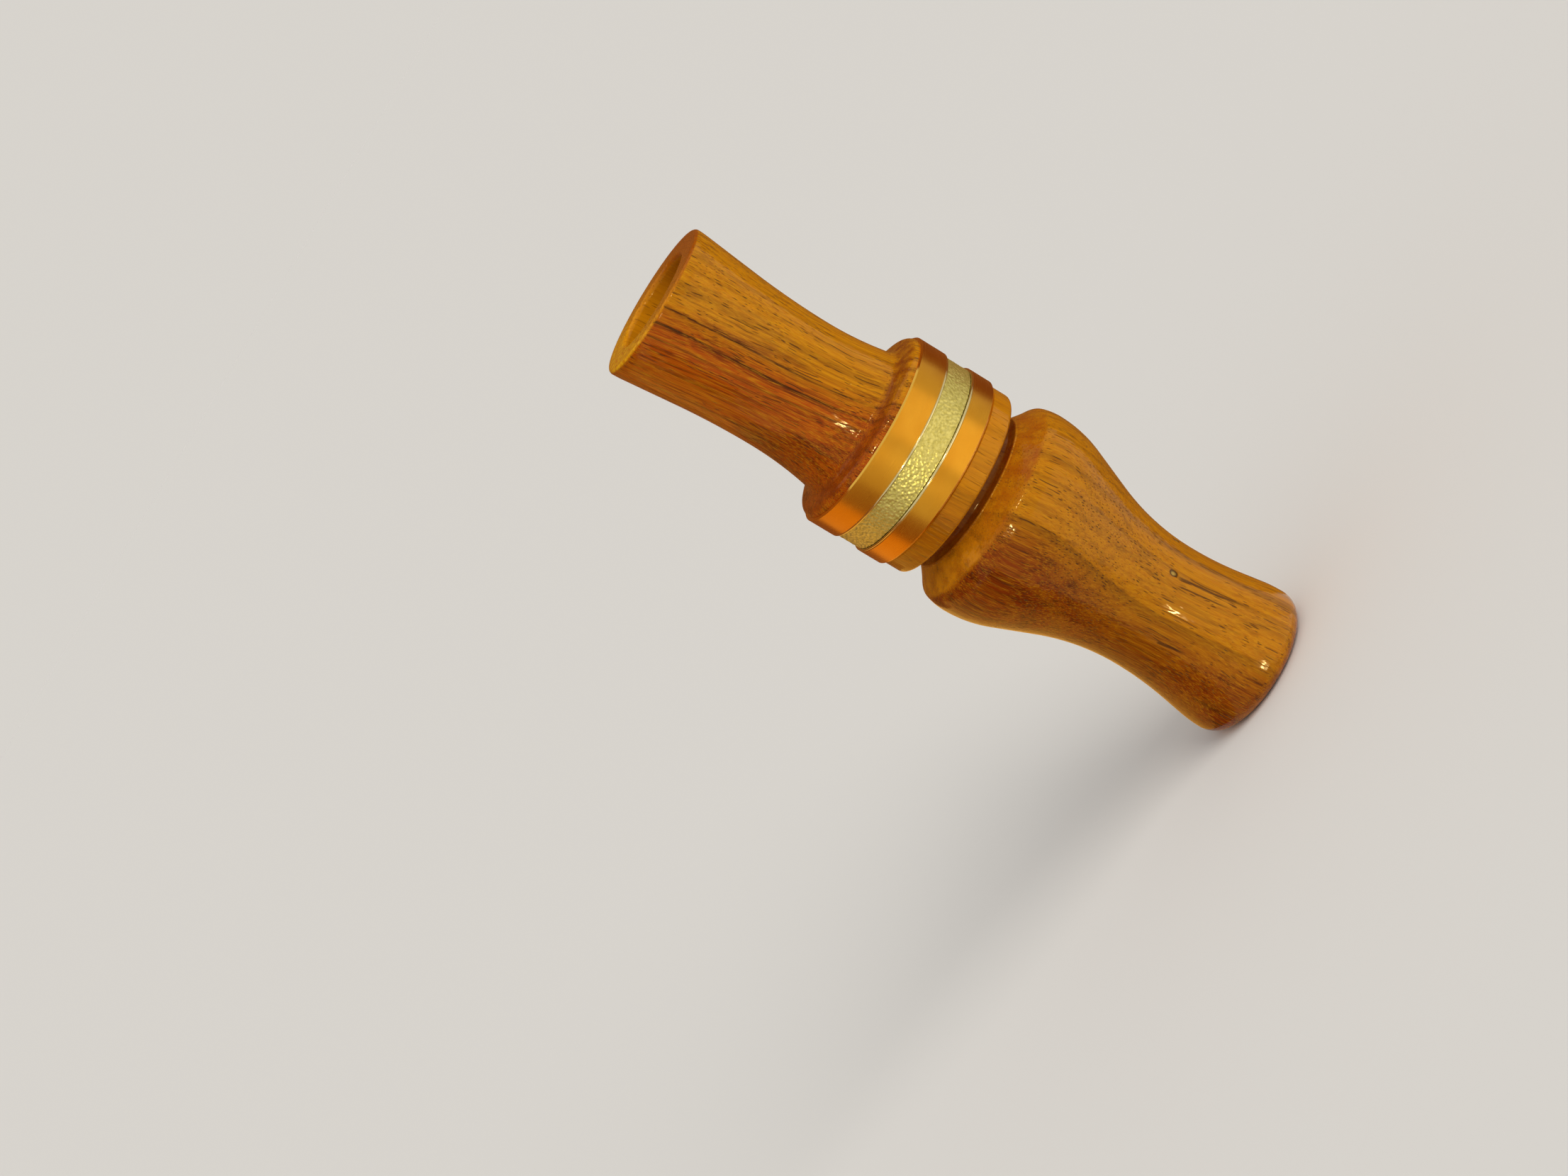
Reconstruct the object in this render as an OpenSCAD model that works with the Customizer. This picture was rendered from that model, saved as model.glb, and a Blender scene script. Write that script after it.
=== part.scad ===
// A lathe-turned closed-reed predator call, standing on its bell end with the mouth up.
// The axis is Z and the origin is the centre of the flat ring that it stands on.
// Profiles are lists of [distance along the axis from the mouth or lip face, radius].

/* [Barrel] */
// Length of the barrel from the mouth to the seat of the band
body_l = 37; // [30:0.5:50]
// Largest diameter, just behind the mouth rim
mouth_d = 24.6; // [22.5:0.1:28]
// Smallest diameter, at the waist
waist_d = 21.4; // [20:0.1:22.4]
// Distance from the mouth to the waist
waist_at = 23.8; // [18:0.1:26]
// Diameter where the body meets the shoulder
foot_d = 23.3; // [22.6:0.1:26]
// Length over which the shoulder climbs to the band
shoulder_l = 3; // [2.4:0.1:3.6]
// How far the shoulder stays below the band
shoulder_step = 0.5; // [0:0.05:1]
// Radius of the outer edge of the mouth rim
rim_round = 0.6; // [0.3:0.1:1.2]

/* [Bore] */
// Diameter of the opening in the mouth
mouth_bore_d = 15.3; // [13.4:0.1:16.5]
// Length of the opening before the main bore begins
throat_l = 9; // [6:0.5:12]
// Radius of the eased edge of the opening
throat_ease = 0.8; // [0.3:0.1:1.5]
// Diameter of the main bore that takes the tenon
bore_d = 15.875; // [15:0.025:16.5]

/* [Band] */
// Outer diameter of the band
band_d = 31.75; // [29:0.25:34]
// Width of the band
band_w = 13; // [10:0.5:16]
// Wall of the band
band_wall = 1.6; // [1.3:0.1:2.2]
// Bevel on the outer edges of the band
band_bevel = 0.25; // [0.1:0.05:0.5]
// Width of the inlaid strip
strip_w = 4.2; // [2:0.1:6]
// How far the strip lies from the middle of the band, towards the insert
strip_shift = 0.4; // [-1:0.1:1]
// Depth of the channel that holds the strip
channel_depth = 0.9; // [0.7:0.05:1]
// How far the face of the strip lies below the band
strip_sink = 0.3; // [0.1:0.05:0.4]
// Bevel along both edges of the channel
strip_bevel = 0.35; // [0.1:0.05:0.4]

/* [Insert] */
// Length of the insert from its lip face to the bell end
insert_l = 60; // [54:0.5:72]
// How far the lip stays below the band
lip_step = 0.5; // [0:0.05:1]
// Width of the lip
lip_w = 3.7; // [2.6:0.1:4.2]
// Radius of the outer edge of the lip towards the groove
lip_round = 0.7; // [0.3:0.1:1.2]
// Width of the lanyard groove
groove_w = 2.1; // [1.6:0.1:3]
// Depth of the lanyard groove below the lip
groove_depth = 3.8; // [3.6:0.1:4.6]
// Radius in the bottom corners of the lanyard groove
groove_round = 1.5; // [0.4:0.1:1.8]
// How far the ridge beside the groove stays below the lip
ridge_drop = 2.4; // [1.6:0.1:2.6]
// Length of the hollow from the ridge to the arris of the bell
cove_l = 3.1; // [2.2:0.1:4]
// Hollow of the cove under its chord
cove_sag = 0.1; // [0.05:0.05:0.3]
// Largest diameter of the bell
bell_d = 34.1; // [33:0.1:38]
// How far the arris stays below the largest radius
arris_drop = 0.6; // [0.4:0.1:1.4]
// Distance from the lip face to the largest diameter
bell_at = 12.2; // [11.5:0.1:15]
// Smallest diameter of the insert, at the neck
neck_d = 21.1; // [18:0.1:23.5]
// Distance from the lip face to the neck
neck_at = 40.2; // [34:0.1:44]
// Largest diameter of the flared end
end_d = 24.4; // [24:0.1:30]
// Radius of the rounded edge of the end
end_round = 3; // [1:0.1:4]
// Diameter of the exhaust bore
exhaust_d = 7.94; // [6:0.02:9]
// Radius of the eased edge of the exhaust bore
exhaust_ease = 0.8; // [0.3:0.1:1.5]

/* [Tenon and seals] */
// Length of the tenon that enters the barrel
tenon_l = 16; // [12:0.5:18]
// Radial clearance of the tenon in the main bore
tenon_clear = 0.06; // [0.04:0.01:0.1]
// Chamfer on the end of the tenon
tenon_chamfer = 0.6; // [0.2:0.1:1]
// Thickness of an O-ring
seal_t = 1.6; // [1.2:0.1:1.8]
// Radial clearance on both sides of an O-ring
seal_clear = 0.03; // [0.02:0.01:0.05]
// Clearance beside an O-ring in its groove
seal_side_clear = 0.15; // [0.1:0.05:0.3]
// Distance of each O-ring from its end of the tenon
seal_inset = 4; // [3:0.1:4.5]
// Gap left for glue between fixed pieces
glue_gap = 0.03; // [0.02:0.01:0.05]

/* [Reed assembly] */
// Diameter of the round shank of the toneboard
shank_d = 10; // [9.6:0.1:10.4]
// Length of the shank in the insert
shank_l = 20; // [14:0.5:26]
// Gap between the toneboard and the main bore
board_gap = 1.3; // [1:0.1:1.6]
// Length of the toneboard in front of the tenon
board_l = 24; // [22:0.5:28]
// Height of the flat of the toneboard above the axis
flat_h = 0.6; // [0.2:0.1:1]
// Diameter of the air channel in the toneboard
channel_d = 5.2; // [4:0.1:6]
// Length at the tip that the air channel leaves closed
tip_l = 4; // [3:0.5:6]
// Angle at which the flat falls away under the reed
fall_angle = 2.5; // [1.5:0.1:4]
// Wall behind the wedge slot
slot_back = 1; // [0.8:0.1:1.5]
// Length of the wedge slot
slot_l = 9; // [7:0.5:10]
// Width of the wedge slot
slot_w = 9; // [8:0.1:9.6]
// Clearance of the wedge and reed in the slot
slot_clear = 0.05; // [0.02:0.01:0.1]
// Thickness of the reed
reed_t = 0.35; // [0.2:0.05:0.6]
// Length of the toneboard that the reed leaves bare at the tip
reed_short = 1; // [0.5:0.1:2]
// Radius of the corners at the tip of the reed
reed_round = 3; // [1:0.1:3.8]
// Clearance between the reed and its neighbours
reed_clear = 0.02; // [0.01:0.01:0.03]

/* [Hidden] */
$fn = 96;

// Steps along each curve of a profile
curve_steps = 8;
// Steps along each small rounding of a profile
edge_steps = 4;
// Steepness of the ogee curves: 1 is a straight line, 2 leaves no straight stretch
rim_steepness = 1.44;
shoulder_steepness = 1.57;
bell_steepness = 1.6;
end_steepness = 1.64;
// Share of the rounding that the first half of each ogee takes
rim_share = 0.1;
shoulder_share = 0.55;
bell_share = 0.34;
end_share = 0.72;
// Easing of sharp turned edges
edge_ease = 0.3;
// Overlap that carries a cut through a face
cut = 1;

barrel_l = body_l + band_w;
call_l = insert_l + barrel_l;
band_r = band_d / 2;
band_inner_r = band_r - band_wall;
shoulder_r = band_r - shoulder_step;
lip_r = band_r - lip_step;
bore_r = bore_d / 2;
mouth_bore_r = mouth_bore_d / 2;
tenon_r = bore_r - tenon_clear;
tenon_top = insert_l + tenon_l;
seal_r = bore_r - seal_clear - seal_t / 2;
seal_seat_r = seal_r - seal_t / 2 - seal_clear;
seal_front_z = tenon_top - seal_inset;
seal_rear_z = insert_l + seal_inset;
socket_r = shank_d / 2 + glue_gap;
shank_z = tenon_top - shank_l;
board_r = bore_r - board_gap;
board_top = tenon_top + board_l;
slot_z = tenon_top + slot_back;
bend_z = slot_z + slot_l;
reed_w = slot_w - 2 * slot_clear;
reed_top = flat_h + 2 * reed_clear + reed_t;

// Points of an arc about a centre
function arc(centre, radius, from, to, steps = edge_steps) =
    [for (i = [0:steps])
        let (a = from + (to - from) * i / steps)
        [centre[0] + radius * cos(a), centre[1] + radius * sin(a)]];

// S-curve between two points that runs along the axis at both ends
function ogee(p, q, steepness, share) =
    let (dx = q[0] - p[0],
         rise = abs(q[1] - p[1]),
         way = sign(q[1] - p[1]),
         turn = atan(rise / dx) * steepness,
         radius = (dx * sin(turn) - rise * cos(turn)) / (1 - cos(turn)),
         first = radius * share,
         last = radius - first)
    concat(
        [for (i = [0:curve_steps])
            let (a = turn * i / curve_steps)
            [p[0] + first * sin(a), p[1] + way * first * (1 - cos(a))]],
        [for (i = [0:curve_steps])
            let (a = turn * (1 - i / curve_steps))
            [q[0] - last * sin(a), q[1] - way * last * (1 - cos(a))]]);

// Arc from a point where it runs along the axis to a free point, on either side
function flare(level, free) =
    let (dx = free[0] - level[0],
         dr = free[1] - level[1],
         radius = (dx * dx + dr * dr) / (2 * abs(dr)),
         turn = 2 * atan(abs(dr / dx)))
    [for (i = [0:curve_steps])
        let (a = turn * i / curve_steps)
        [level[0] + sign(dx) * radius * sin(a), level[1] + sign(dr) * radius * (1 - cos(a))]];

// Hollow arc between two points, a given depth under its chord
function hollow(p, q, sag) =
    let (chord = norm(q - p),
         along = (q - p) / chord,
         below = [along[1], -along[0]])
    [for (i = [0:curve_steps])
        let (t = i / curve_steps)
        p + along * chord * t + below * sag * 4 * t * (1 - t)];

function reversed(points) = [for (i = [len(points) - 1:-1:0]) points[i]];

// Turns a profile of [distance down from a height, radius] about the axis
module turned(profile, top) {
    rotate_extrude()
        polygon([for (p = profile) [p[1], top - p[0]]]);
}

// Cylinder along the axis between two heights
module rod(radius, low, high) {
    translate([0, 0, low])
        cylinder(r = radius, h = high - low);
}

// Outside of the barrel, from the mouth rim to the end of the collar under the band
function barrel_outside() =
    let (mouth_r = mouth_d / 2,
         collar_r = band_inner_r - glue_gap)
    concat(
        arc([rim_round, mouth_r - rim_round], rim_round, 180, 90),
        ogee([rim_round, mouth_r], [waist_at, waist_d / 2], rim_steepness, rim_share),
        flare([waist_at, waist_d / 2], [body_l - shoulder_l, foot_d / 2]),
        ogee([body_l - shoulder_l, foot_d / 2], [body_l, shoulder_r], shoulder_steepness, shoulder_share),
        [[body_l, collar_r], [barrel_l, collar_r]]);

// Inside of the barrel, from the end of the collar to the mouth
function barrel_inside() =
    concat(
        [[barrel_l, bore_r], [throat_l, bore_r], [throat_l, mouth_bore_r]],
        arc([throat_ease, mouth_bore_r + throat_ease], throat_ease, 270, 180));

module barrel() {
    color([0.62, 0.36, 0.1])
        turned(concat(barrel_outside(), barrel_inside()), call_l);
}

// Where the inlaid channel begins and ends, from the shoulder side of the band
channel_near = (band_w - strip_w) / 2 + strip_shift;
channel_far = channel_near + strip_w;

module call_band() {
    channel_r = band_r - channel_depth;
    color([0.83, 0.6, 0.18])
        turned([
            [0, band_inner_r],
            [0, band_r - band_bevel],
            [band_bevel, band_r],
            [channel_near - strip_bevel, band_r],
            [channel_near, band_r - strip_bevel],
            [channel_near, channel_r],
            [channel_far, channel_r],
            [channel_far, band_r - strip_bevel],
            [channel_far + strip_bevel, band_r],
            [band_w - band_bevel, band_r],
            [band_w, band_r - band_bevel],
            [band_w, band_inner_r]
        ], insert_l + band_w);
}

module band_inlay() {
    near = channel_near + glue_gap;
    far = channel_far - glue_gap;
    back = band_r - channel_depth + glue_gap;
    face = band_r - strip_sink;
    color([0.8, 0.76, 0.6])
        turned([[near, back], [near, face], [far, face], [far, back]], insert_l + band_w);
}

// Outside of the insert, from the edge of the lip face to the flat ring at the bell end
function insert_outside() =
    let (ridge_at = lip_w + groove_w,
         ridge_r = lip_r - ridge_drop,
         bottom_r = lip_r - groove_depth,
         corner = min(groove_round, groove_w / 2 - edge_ease, groove_depth - max(lip_round, ridge_drop + edge_ease) - edge_ease),
         arris = [ridge_at + cove_l, bell_d / 2 - arris_drop],
         end_at = insert_l - end_round)
    concat(
        [[0, lip_r - edge_ease], [edge_ease, lip_r]],
        arc([lip_w - lip_round, lip_r - lip_round], lip_round, 90, 0),
        arc([lip_w + corner, bottom_r + corner], corner, 180, 270),
        arc([ridge_at - corner, bottom_r + corner], corner, 270, 360),
        [[ridge_at, ridge_r - edge_ease]],
        hollow([ridge_at + edge_ease, ridge_r], arris, cove_sag),
        reversed(flare([bell_at, bell_d / 2], arris)),
        ogee([bell_at, bell_d / 2], [neck_at, neck_d / 2], bell_steepness, bell_share),
        ogee([neck_at, neck_d / 2], [end_at, end_d / 2], end_steepness, end_share),
        arc([end_at, end_d / 2 - end_round], end_round, 90, 0));

// Groove round the tenon for one O-ring
module seal_groove(z) {
    half = seal_t / 2 + seal_side_clear;
    difference() {
        rod(tenon_r + cut, z - half, z + half);
        rod(seal_seat_r, z - half - cut, z + half + cut);
    }
}

module insert() {
    exhaust_r = exhaust_d / 2;
    color([0.48, 0.22, 0.07])
        difference() {
            union() {
                turned(concat(
                    insert_outside(),
                    arc([insert_l - exhaust_ease, exhaust_r + exhaust_ease], exhaust_ease, 0, -90),
                    [[0, exhaust_r]]), insert_l);
                turned([
                    [0, exhaust_r],
                    [0, tenon_r - tenon_chamfer],
                    [tenon_chamfer, tenon_r],
                    [tenon_l, tenon_r],
                    [tenon_l, exhaust_r]
                ], tenon_top);
            }
            rod(socket_r, shank_z, tenon_top + cut);
            seal_groove(seal_front_z);
            seal_groove(seal_rear_z);
        }
}

// One O-ring at a height on the tenon
module o_ring(z) {
    color([0.08, 0.08, 0.08])
        translate([0, 0, z])
            rotate_extrude()
                translate([seal_r, 0])
                    circle(d = seal_t);
}

module o_ring_front() {
    o_ring(seal_front_z);
}

module o_ring_rear() {
    o_ring(seal_rear_z);
}

module toneboard() {
    color([0.1, 0.1, 0.11])
        difference() {
            union() {
                rod(shank_d / 2, shank_z, tenon_top);
                rod(board_r, tenon_top, board_top);
            }
            rod(channel_d / 2, shank_z - cut, board_top - tip_l);
            translate([-slot_w / 2, flat_h, slot_z])
                cube([slot_w, board_r, slot_l + cut]);
            translate([-board_r, flat_h, bend_z])
                rotate([fall_angle, 0, 0])
                    cube([2 * board_r, 2 * board_r, 2 * board_l]);
        }
}

// Outline of the reed, with the tail at the origin and the rounded tip along +Y
module reed_outline(length) {
    half = reed_w / 2;
    translate([-half, 0])
        square([reed_w, length - reed_round]);
    translate([-half + reed_round, 0])
        square([reed_w - 2 * reed_round, length]);
    for (side = [-1, 1])
        translate([side * (half - reed_round), length - reed_round])
            circle(r = reed_round);
}

module reed() {
    tail_z = slot_z + slot_clear;
    color([0.85, 0.82, 0.68])
        translate([0, flat_h + reed_clear + reed_t, tail_z])
            rotate([90, 0, 0])
                linear_extrude(reed_t)
                    reed_outline(board_top - reed_short - tail_z);
}

module reed_wedge() {
    color([0.72, 0.53, 0.34])
        intersection() {
            rod(board_r, slot_z + slot_clear, bend_z - slot_clear);
            translate([-slot_w / 2 + slot_clear, reed_top, slot_z])
                cube([slot_w - 2 * slot_clear, board_r, slot_l]);
        }
}

barrel();
call_band();
band_inlay();
insert();
toneboard();
reed();
reed_wedge();
o_ring_front();
o_ring_rear();
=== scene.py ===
# A lathe-turned predator call in lacquered wood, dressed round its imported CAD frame.
# It stands on its bell end: +Z runs along the axis to the mouth, and the camera looks from the -Y side.
import math

import bpy
from mathutils import Matrix, Vector


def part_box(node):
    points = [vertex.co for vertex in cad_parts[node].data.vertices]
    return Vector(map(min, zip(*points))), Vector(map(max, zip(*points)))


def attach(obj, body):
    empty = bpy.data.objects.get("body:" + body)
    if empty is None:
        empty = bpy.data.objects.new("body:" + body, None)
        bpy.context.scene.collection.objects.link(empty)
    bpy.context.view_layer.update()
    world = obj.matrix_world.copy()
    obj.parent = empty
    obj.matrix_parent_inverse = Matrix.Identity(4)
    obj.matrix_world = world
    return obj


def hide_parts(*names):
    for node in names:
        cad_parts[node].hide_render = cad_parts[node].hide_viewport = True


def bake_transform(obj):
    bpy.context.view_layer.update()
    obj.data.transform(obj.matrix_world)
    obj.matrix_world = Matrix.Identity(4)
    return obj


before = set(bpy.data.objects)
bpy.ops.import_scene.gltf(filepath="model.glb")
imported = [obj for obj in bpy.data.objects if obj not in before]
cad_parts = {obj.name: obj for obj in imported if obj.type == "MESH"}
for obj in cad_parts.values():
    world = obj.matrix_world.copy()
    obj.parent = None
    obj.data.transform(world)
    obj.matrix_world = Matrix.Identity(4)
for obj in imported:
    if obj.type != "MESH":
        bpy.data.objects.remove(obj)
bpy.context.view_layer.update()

# Insert: the lower half of the call, turned on a lathe from one blank of streaked hardwood.
# A lip seats on the band, a groove takes the lanyard, and a bell swells before the neck and the flared end.
# Its tenon plugs into the barrel, and it is bored for toneboard and exhaust. Gloss lacquer all over.
mm = 0.001
lip_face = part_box("call_band")[0].z
tenon_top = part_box("insert")[1].z
band_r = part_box("call_band")[1].x
bell_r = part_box("insert")[1].x
lip_step = 0.5 * mm
lip_r = band_r - lip_step
lip_w = 3.7 * mm
lip_round = 0.7 * mm
groove_w = 2.1 * mm
groove_depth = 3.8 * mm
ridge_drop = 2.4 * mm
cove_l = 3.1 * mm
cove_sag = 0.1 * mm
arris_drop = 0.6 * mm
bell_at = 12.2 * mm
neck_r = 10.55 * mm
neck_at = 40.2 * mm
end_r = 12.2 * mm
end_round = 3 * mm
exhaust_r = 3.97 * mm
exhaust_ease = 0.8 * mm
socket_r = 5.03 * mm
socket_depth = 20 * mm
bore_r = 7.9375 * mm
tenon_clear = 0.06 * mm
tenon_r = bore_r - tenon_clear
tenon_chamfer = 0.6 * mm
seal_t = 1.6 * mm
seal_clear = 0.03 * mm
seal_side_clear = 0.15 * mm
seal_r = bore_r - seal_clear - seal_t / 2
seal_seat_r = seal_r - seal_t / 2 - seal_clear
seal_half_w = seal_t / 2 + seal_side_clear
seal_inset = 4 * mm
seal_heights = {"o_ring_front": tenon_top - seal_inset, "o_ring_rear": lip_face + seal_inset}
edge_ease = 0.3 * mm
arris_ease = 0.5 * mm
lathe_steps = 144
longest_step = 0.9 * mm
weld = mm / 200
crease = math.radians(32)


def arc(centre, radius, start, end, steps=8):
    """Points of an arc about a centre, between two angles in degrees."""
    angles = [math.radians(start + (end - start) * i / steps) for i in range(steps + 1)]
    return [(centre[0] + radius * math.cos(a), centre[1] + radius * math.sin(a)) for a in angles]


def ogee(p, q, steepness, share, steps=18):
    """An S-curve between two points, along the axis at both ends; share is the first half's rounding."""
    run = q[0] - p[0]
    rise = abs(q[1] - p[1])
    way = math.copysign(1, q[1] - p[1])
    turn = math.atan(rise / run) * steepness
    radius = (run * math.sin(turn) - rise * math.cos(turn)) / (1 - math.cos(turn))
    first = radius * share
    last = radius - first
    angles = [turn * i / steps for i in range(steps + 1)]
    leaving = [(p[0] + first * math.sin(a), p[1] + way * first * (1 - math.cos(a))) for a in angles]
    arriving = [(q[0] - last * math.sin(a), q[1] - way * last * (1 - math.cos(a))) for a in angles]
    return leaving + arriving[::-1]


def flare(level, free, steps=16):
    """An arc from a point where it runs along the axis to a free point on either side."""
    run = free[0] - level[0]
    rise = free[1] - level[1]
    radius = (run * run + rise * rise) / (2 * abs(rise))
    turn = 2 * math.atan(abs(rise / run))
    angles = [turn * i / steps for i in range(steps + 1)]
    return [(level[0] + math.copysign(radius * math.sin(a), run),
             level[1] + math.copysign(radius * (1 - math.cos(a)), rise)) for a in angles]


def hollow(p, q, sag, steps=12):
    """A shallow hollow between two points, a given depth under its chord."""
    along = Vector((q[0] - p[0], q[1] - p[1]))
    below = Vector((along.y, -along.x)).normalized()
    shares = [i / steps for i in range(steps + 1)]
    return [tuple(Vector(p) + along * t + below * sag * 4 * t * (1 - t)) for t in shares]


def turn_on_lathe(name, outline, top, steps=lathe_steps):
    """Turns a closed outline of (distance down from top, radius) about the axis and shades it smooth."""
    bpy.ops.object.select_all(action="DESELECT")
    bpy.ops.mesh.primitive_plane_add(size=mm)
    piece = bpy.context.object
    piece.name = name
    bpy.ops.object.mode_set(mode="EDIT")
    bpy.ops.mesh.merge(type="CENTER")
    bpy.ops.transform.translate(value=(outline[0][1], 0, top - outline[0][0]))
    for (d0, r0), (d1, r1) in zip(outline, outline[1:] + outline[:1]):
        cuts = max(1, math.ceil(math.hypot(d1 - d0, r1 - r0) / longest_step))
        stride = ((r1 - r0) / cuts, 0, (d0 - d1) / cuts)
        for _ in range(cuts):
            bpy.ops.mesh.extrude_region_move(TRANSFORM_OT_translate={"value": stride})
    bpy.ops.mesh.select_all(action="SELECT")
    bpy.ops.mesh.remove_doubles(threshold=weld)
    bpy.ops.mesh.spin(steps=steps, angle=math.tau, center=(0, 0, 0), axis=(0, 0, 1))
    bpy.ops.mesh.select_all(action="SELECT")
    bpy.ops.mesh.remove_doubles(threshold=weld)
    bpy.ops.mesh.normals_make_consistent(inside=False)
    bpy.ops.object.mode_set(mode="OBJECT")
    bpy.ops.object.shade_smooth_by_angle(angle=crease)
    return piece


ridge_at = lip_w + groove_w
ridge_r = lip_r - ridge_drop
groove_bottom = lip_r - groove_depth
groove_round = groove_w / 2 - edge_ease
arris = (ridge_at + cove_l, bell_r - arris_drop)
end_at = lip_face - end_round
socket_at = lip_face - (tenon_top - socket_depth)


def rounded(start, corner, end, steps=6):
    """Points of a small round from a start to an end, about the corner where the two sides would meet."""
    return [tuple(((1 - t) ** 2 * a + 2 * t * (1 - t) * b + t ** 2 * c)
                  for a, b, c in zip(start, corner, end)) for t in (i / steps for i in range(steps + 1))]


def worn(before, after, ease):
    """Two runs of an outline that meet at a corner, with the corner worn round."""
    corner = Vector(before[-1])
    near = [p for p in before if (Vector(p) - corner).length > ease]
    far = [p for p in after if (Vector(p) - corner).length > ease]
    start = corner + (Vector(near[-1]) - corner).normalized() * ease
    end = corner + (Vector(far[0]) - corner).normalized() * ease
    return near + rounded(start, corner, end) + far


def tenon_outline():
    """The tenon from its end down to the lip face, with a square groove for each seal."""
    top = lip_face - tenon_top
    points = [(top, tenon_r - tenon_chamfer), (top + tenon_chamfer, tenon_r)]
    for height in seal_heights.values():
        near = lip_face - height - seal_half_w
        far = lip_face - height + seal_half_w
        points += [(near, tenon_r), (near, seal_seat_r), (far, seal_seat_r), (far, tenon_r)]
    return points + [(0, tenon_r)]


insert = turn_on_lathe("turned_insert", (
    tenon_outline()
    + [(0, lip_r - edge_ease), (edge_ease, lip_r)]
    + arc((lip_w - lip_round, lip_r - lip_round), lip_round, 90, 0)
    + arc((lip_w + groove_round, groove_bottom + groove_round), groove_round, 180, 270)
    + arc((ridge_at - groove_round, groove_bottom + groove_round), groove_round, 270, 360)
    + rounded((ridge_at, ridge_r - edge_ease), (ridge_at, ridge_r), (ridge_at + edge_ease, ridge_r))
    + worn(hollow((ridge_at + edge_ease, ridge_r), arris, cove_sag),
           flare((bell_at, bell_r), arris)[::-1], arris_ease)
    + ogee((bell_at, bell_r), (neck_at, neck_r), steepness=1.6, share=0.34)[1:]
    + ogee((neck_at, neck_r), (end_at, end_r), steepness=1.64, share=0.72)[1:]
    + arc((end_at, end_r - end_round), end_round, 90, 0)[1:]
    + arc((lip_face - exhaust_ease, exhaust_r + exhaust_ease), exhaust_ease, 0, -90)
    + [(socket_at, exhaust_r), (socket_at, socket_r), (lip_face - tenon_top, socket_r)]
), lip_face)

# Two small natural pits in the wood of the neck, filled dark by the lacquer: place, reach and depth of each
pits = [(Vector((5.27, -9.25, 22.6)) * mm, 1.0 * mm, 0.35 * mm),
        (Vector((10.2, -3.1, 22.9)) * mm, 0.9 * mm, 0.3 * mm)]


def press_pit(piece, place, reach, depth):
    """Presses a small pit into a turned surface at a place on it."""
    mesh = piece.data
    for _ in range(2):
        bpy.ops.object.mode_set(mode="EDIT")
        bpy.ops.mesh.select_mode(type="FACE")
        bpy.ops.mesh.select_all(action="DESELECT")
        bpy.ops.object.mode_set(mode="OBJECT")
        for face in mesh.polygons:
            face.select = (face.center - place).length < 1.4 * reach
        bpy.ops.object.mode_set(mode="EDIT")
        bpy.ops.mesh.subdivide(number_cuts=1, smoothness=0)
        bpy.ops.object.mode_set(mode="OBJECT")
    bpy.ops.object.mode_set(mode="EDIT")
    bpy.ops.mesh.select_mode(type="VERT")
    bpy.ops.mesh.select_all(action="DESELECT")
    bpy.ops.object.mode_set(mode="OBJECT")
    min(mesh.vertices, key=lambda v: (v.co - place).length).select = True
    bpy.ops.object.mode_set(mode="EDIT")
    inward = Vector((-place.x, -place.y, 0)).normalized()
    bpy.ops.transform.translate(value=inward * depth, use_proportional_edit=True,
                                proportional_edit_falloff="SMOOTH", proportional_size=reach)
    bpy.ops.object.mode_set(mode="OBJECT")


for pit_place, pit_reach, pit_depth in pits:
    press_pit(insert, pit_place, pit_reach, pit_depth)


def paint(red, green, blue):
    """A colour given in display values from 0 to 255, as the shader's linear colour."""
    shares = [c / 255 for c in (red, green, blue)]
    return tuple(c / 12.92 if c <= 0.04045 else ((c + 0.055) / 1.055) ** 2.4 for c in shares) + (1,)


def feed(tree, socket, value):
    """Gives a socket a value, or a link where the value is another node's socket."""
    if isinstance(value, bpy.types.NodeSocket):
        tree.links.new(value, socket)
    else:
        socket.default_value = value


def calc(tree, operation, *values):
    """A Math node's result."""
    node = tree.nodes.new("ShaderNodeMath")
    node.operation = operation
    for socket, value in zip(node.inputs, values):
        feed(tree, socket, value)
    return node.outputs[0]


def fade(tree, value, low, high):
    """An eased step from 0 at low to 1 at high."""
    node = tree.nodes.new("ShaderNodeMapRange")
    node.interpolation_type = "SMOOTHSTEP"
    for name, given in (("Value", value), ("From Min", low), ("From Max", high)):
        feed(tree, node.inputs[name], given)
    return node.outputs["Result"]


def tint(tree, share, first, second, blend="MIX"):
    """A colour mixed from the first towards the second."""
    node = tree.nodes.new("ShaderNodeMix")
    node.data_type = "RGBA"
    node.blend_type = blend
    feed(tree, node.inputs[0], share)
    feed(tree, node.inputs[6], first)
    feed(tree, node.inputs[7], second)
    return node.outputs[2]


def stretched(tree, place, stretch):
    """Coordinates multiplied along each axis, so that a pattern on them is drawn out."""
    node = tree.nodes.new("ShaderNodeVectorMath")
    node.operation = "MULTIPLY"
    feed(tree, node.inputs[0], place)
    node.inputs[1].default_value = stretch
    return node.outputs[0]


def cloud(tree, place, stretch, detail=2.0, roughness=0.5):
    """Smooth noise on stretched coordinates."""
    node = tree.nodes.new("ShaderNodeTexNoise")
    feed(tree, node.inputs["Vector"], stretched(tree, place, stretch))
    node.inputs["Scale"].default_value = 1
    node.inputs["Detail"].default_value = detail
    node.inputs["Roughness"].default_value = roughness
    return node.outputs["Fac"]


def layers(tree, depth, pace, detail=2.0):
    """Noise along one line, as growth layers follow each other through the wood."""
    node = tree.nodes.new("ShaderNodeTexNoise")
    node.noise_dimensions = "1D"
    feed(tree, node.inputs["W"], calc(tree, "MULTIPLY", depth, pace))
    node.inputs["Scale"].default_value = 1
    node.inputs["Detail"].default_value = detail
    return node.outputs["Fac"]


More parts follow.
